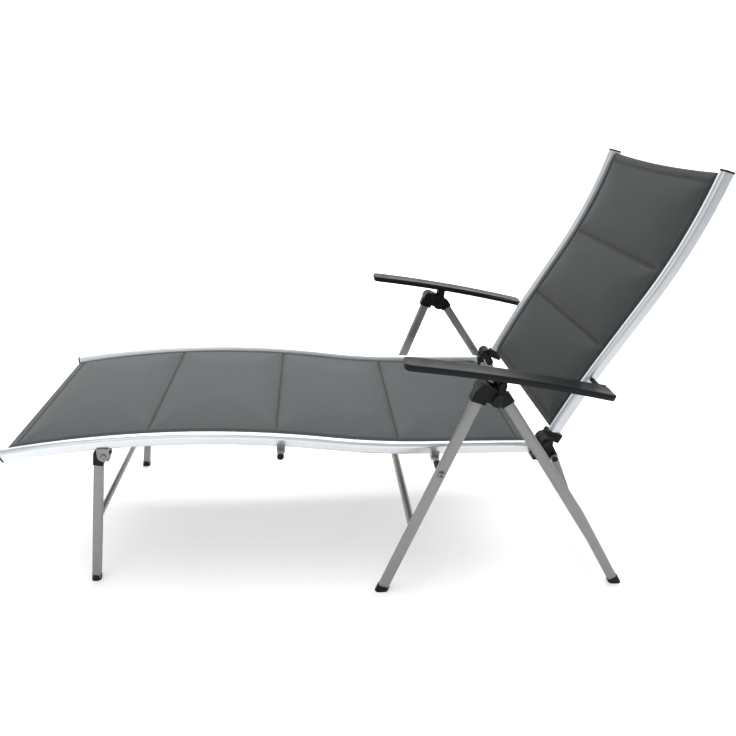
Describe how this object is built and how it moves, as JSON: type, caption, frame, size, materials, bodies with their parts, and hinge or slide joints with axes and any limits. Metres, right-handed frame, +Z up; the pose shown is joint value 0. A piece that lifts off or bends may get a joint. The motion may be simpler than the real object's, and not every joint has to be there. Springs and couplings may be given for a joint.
{
  "type": "reclining sun lounger",
  "caption": "Folding aluminium sun lounger with a padded sling, an adjustable reclining back, swinging armrests and folding legs.",
  "frame": {"origin": "on the floor under the middle of the overall box", "axes": "+X from the foot end to the head end, +Y to the sitter's right, +Z up"},
  "size_m": [1.5588, 0.7046, 1.0255],
  "materials": {
    "rail_aluminium": "satin silver",
    "leg_paint": "satin warm grey",
    "black_plastic": "fine moulded grain",
    "arm_plastic": "satin anthracite",
    "steel": "zinc plated",
    "black_steel": "blackened, satin",
    "seat_fabric": "padded woven mesh, grey",
    "back_fabric": "padded woven mesh, grey"
  },
  "bodies": {
    "seat_frame": {"seat_rail_left": "rail_aluminium", "seat_rail_right": "rail_aluminium", "foot_end_caps": "black_plastic", "seat_sling": "seat_fabric", "middle_crossbar": "leg_paint", "pivot_crossbar": "leg_paint", "crossbar_saddles": "leg_paint", "crossbar_plugs": "black_plastic", "hinge_block_left": "black_plastic", "hinge_block_right": "black_plastic", "hinge_pins": "black_steel", "link_pins": "black_steel", "foot_brackets": "leg_paint", "foot_pins": "steel", "foot_crossbar": "leg_paint"},
    "backrest": {"back_rail_left": "rail_aluminium", "back_rail_right": "rail_aluminium", "back_top_caps": "black_plastic", "back_crossbar_lower": "leg_paint", "back_crossbar_upper": "leg_paint", "hinge_collar_left": "black_plastic", "hinge_collar_right": "black_plastic", "adjuster_studs": "black_plastic", "back_sling": "back_fabric"},
    "front_legs": {"front_leg_left": "leg_paint", "front_leg_right": "leg_paint", "knuckle_front_left": "black_plastic", "knuckle_front_right": "black_plastic", "front_shoes": "black_plastic", "leg_pivot_bolts": "steel", "leg_bushes": "black_plastic", "knuckle_bolts": "black_steel", "front_stretcher": "leg_paint"},
    "rear_legs": {"rear_leg_left": "leg_paint", "rear_leg_right": "leg_paint", "knuckle_rear_left": "black_plastic", "knuckle_rear_right": "black_plastic", "rear_shoes": "black_plastic", "rear_stretcher": "leg_paint"},
    "foot_legs": {"foot_leg_left": "leg_paint", "foot_leg_right": "leg_paint", "foot_forks": "black_plastic", "foot_shoes": "black_plastic", "foot_stretcher": "leg_paint"},
    "link_left": {"hinge_link_left": "leg_paint"},
    "bracket_left": {"arm_bracket_left": "black_plastic", "arm_pin_left": "black_steel"},
    "arm_left": {"armrest_left": "arm_plastic", "arm_rack_left": "arm_plastic"},
    "link_right": {"hinge_link_right": "leg_paint"},
    "bracket_right": {"arm_bracket_right": "black_plastic", "arm_pin_right": "black_steel"},
    "arm_right": {"armrest_right": "arm_plastic", "arm_rack_right": "arm_plastic"}
  },
  "joints": [
    {"name": "legs_fold", "type": "hinge", "parent": "seat_frame", "child": "front_legs", "pos_m": [0.21, 0, 0.348], "axis": [0, -1, 0], "range_deg": [0, 106]},
    {"name": "rear_legs_fold", "type": "hinge", "parent": "front_legs", "child": "rear_legs", "pos_m": [0.3176, 0, 0.5468], "axis": [0, -1, 0], "range_deg": [-54.6, 0]},
    {"name": "back_recline", "type": "hinge", "parent": "seat_frame", "child": "backrest", "pos_m": [0.47, 0, 0.398], "axis": [0, 1, 0], "range_deg": [-108, 58]},
    {"name": "foot_legs_fold", "type": "hinge", "parent": "seat_frame", "child": "foot_legs", "pos_m": [-0.55328, 0, 0.36655], "axis": [0, -1, 0], "range_deg": [0, 85]},
    {"name": "link_left_fold", "type": "hinge", "parent": "seat_frame", "child": "link_left", "pos_m": [0.492, 0, 0.362], "axis": [0, -1, 0], "range_deg": [-127.8, 0]},
    {"name": "bracket_left_fold", "type": "hinge", "parent": "front_legs", "child": "bracket_left", "pos_m": [0.3176, -0.327, 0.5468], "axis": [0, -1, 0], "range_deg": [-96.1, 0]},
    {"name": "arm_left_lift", "type": "hinge", "parent": "bracket_left", "child": "arm_left", "pos_m": [0.322, -0.327, 0.581], "axis": [0, -1, 0], "range_deg": [0, 18]},
    {"name": "link_right_fold", "type": "hinge", "parent": "seat_frame", "child": "link_right", "pos_m": [0.492, 0, 0.362], "axis": [0, -1, 0], "range_deg": [-127.8, 0]},
    {"name": "bracket_right_fold", "type": "hinge", "parent": "front_legs", "child": "bracket_right", "pos_m": [0.3176, 0.327, 0.5468], "axis": [0, -1, 0], "range_deg": [-96.1, 0]},
    {"name": "arm_right_lift", "type": "hinge", "parent": "bracket_right", "child": "arm_right", "pos_m": [0.322, 0.327, 0.581], "axis": [0, -1, 0], "range_deg": [0, 18]}
  ],
  "couplings": [
    {"joint": "rear_legs_fold", "follows": "legs_fold", "ratio": -0.51415},
    {"joint": "link_left_fold", "follows": "legs_fold", "ratio": -1.2047},
    {"joint": "bracket_left_fold", "follows": "legs_fold", "ratio": -0.90566},
    {"joint": "link_right_fold", "follows": "legs_fold", "ratio": -1.2047},
    {"joint": "bracket_right_fold", "follows": "legs_fold", "ratio": -0.90566},
    {"joint": "arm_right_lift", "follows": "arm_left_lift", "ratio": 1}
  ]
}
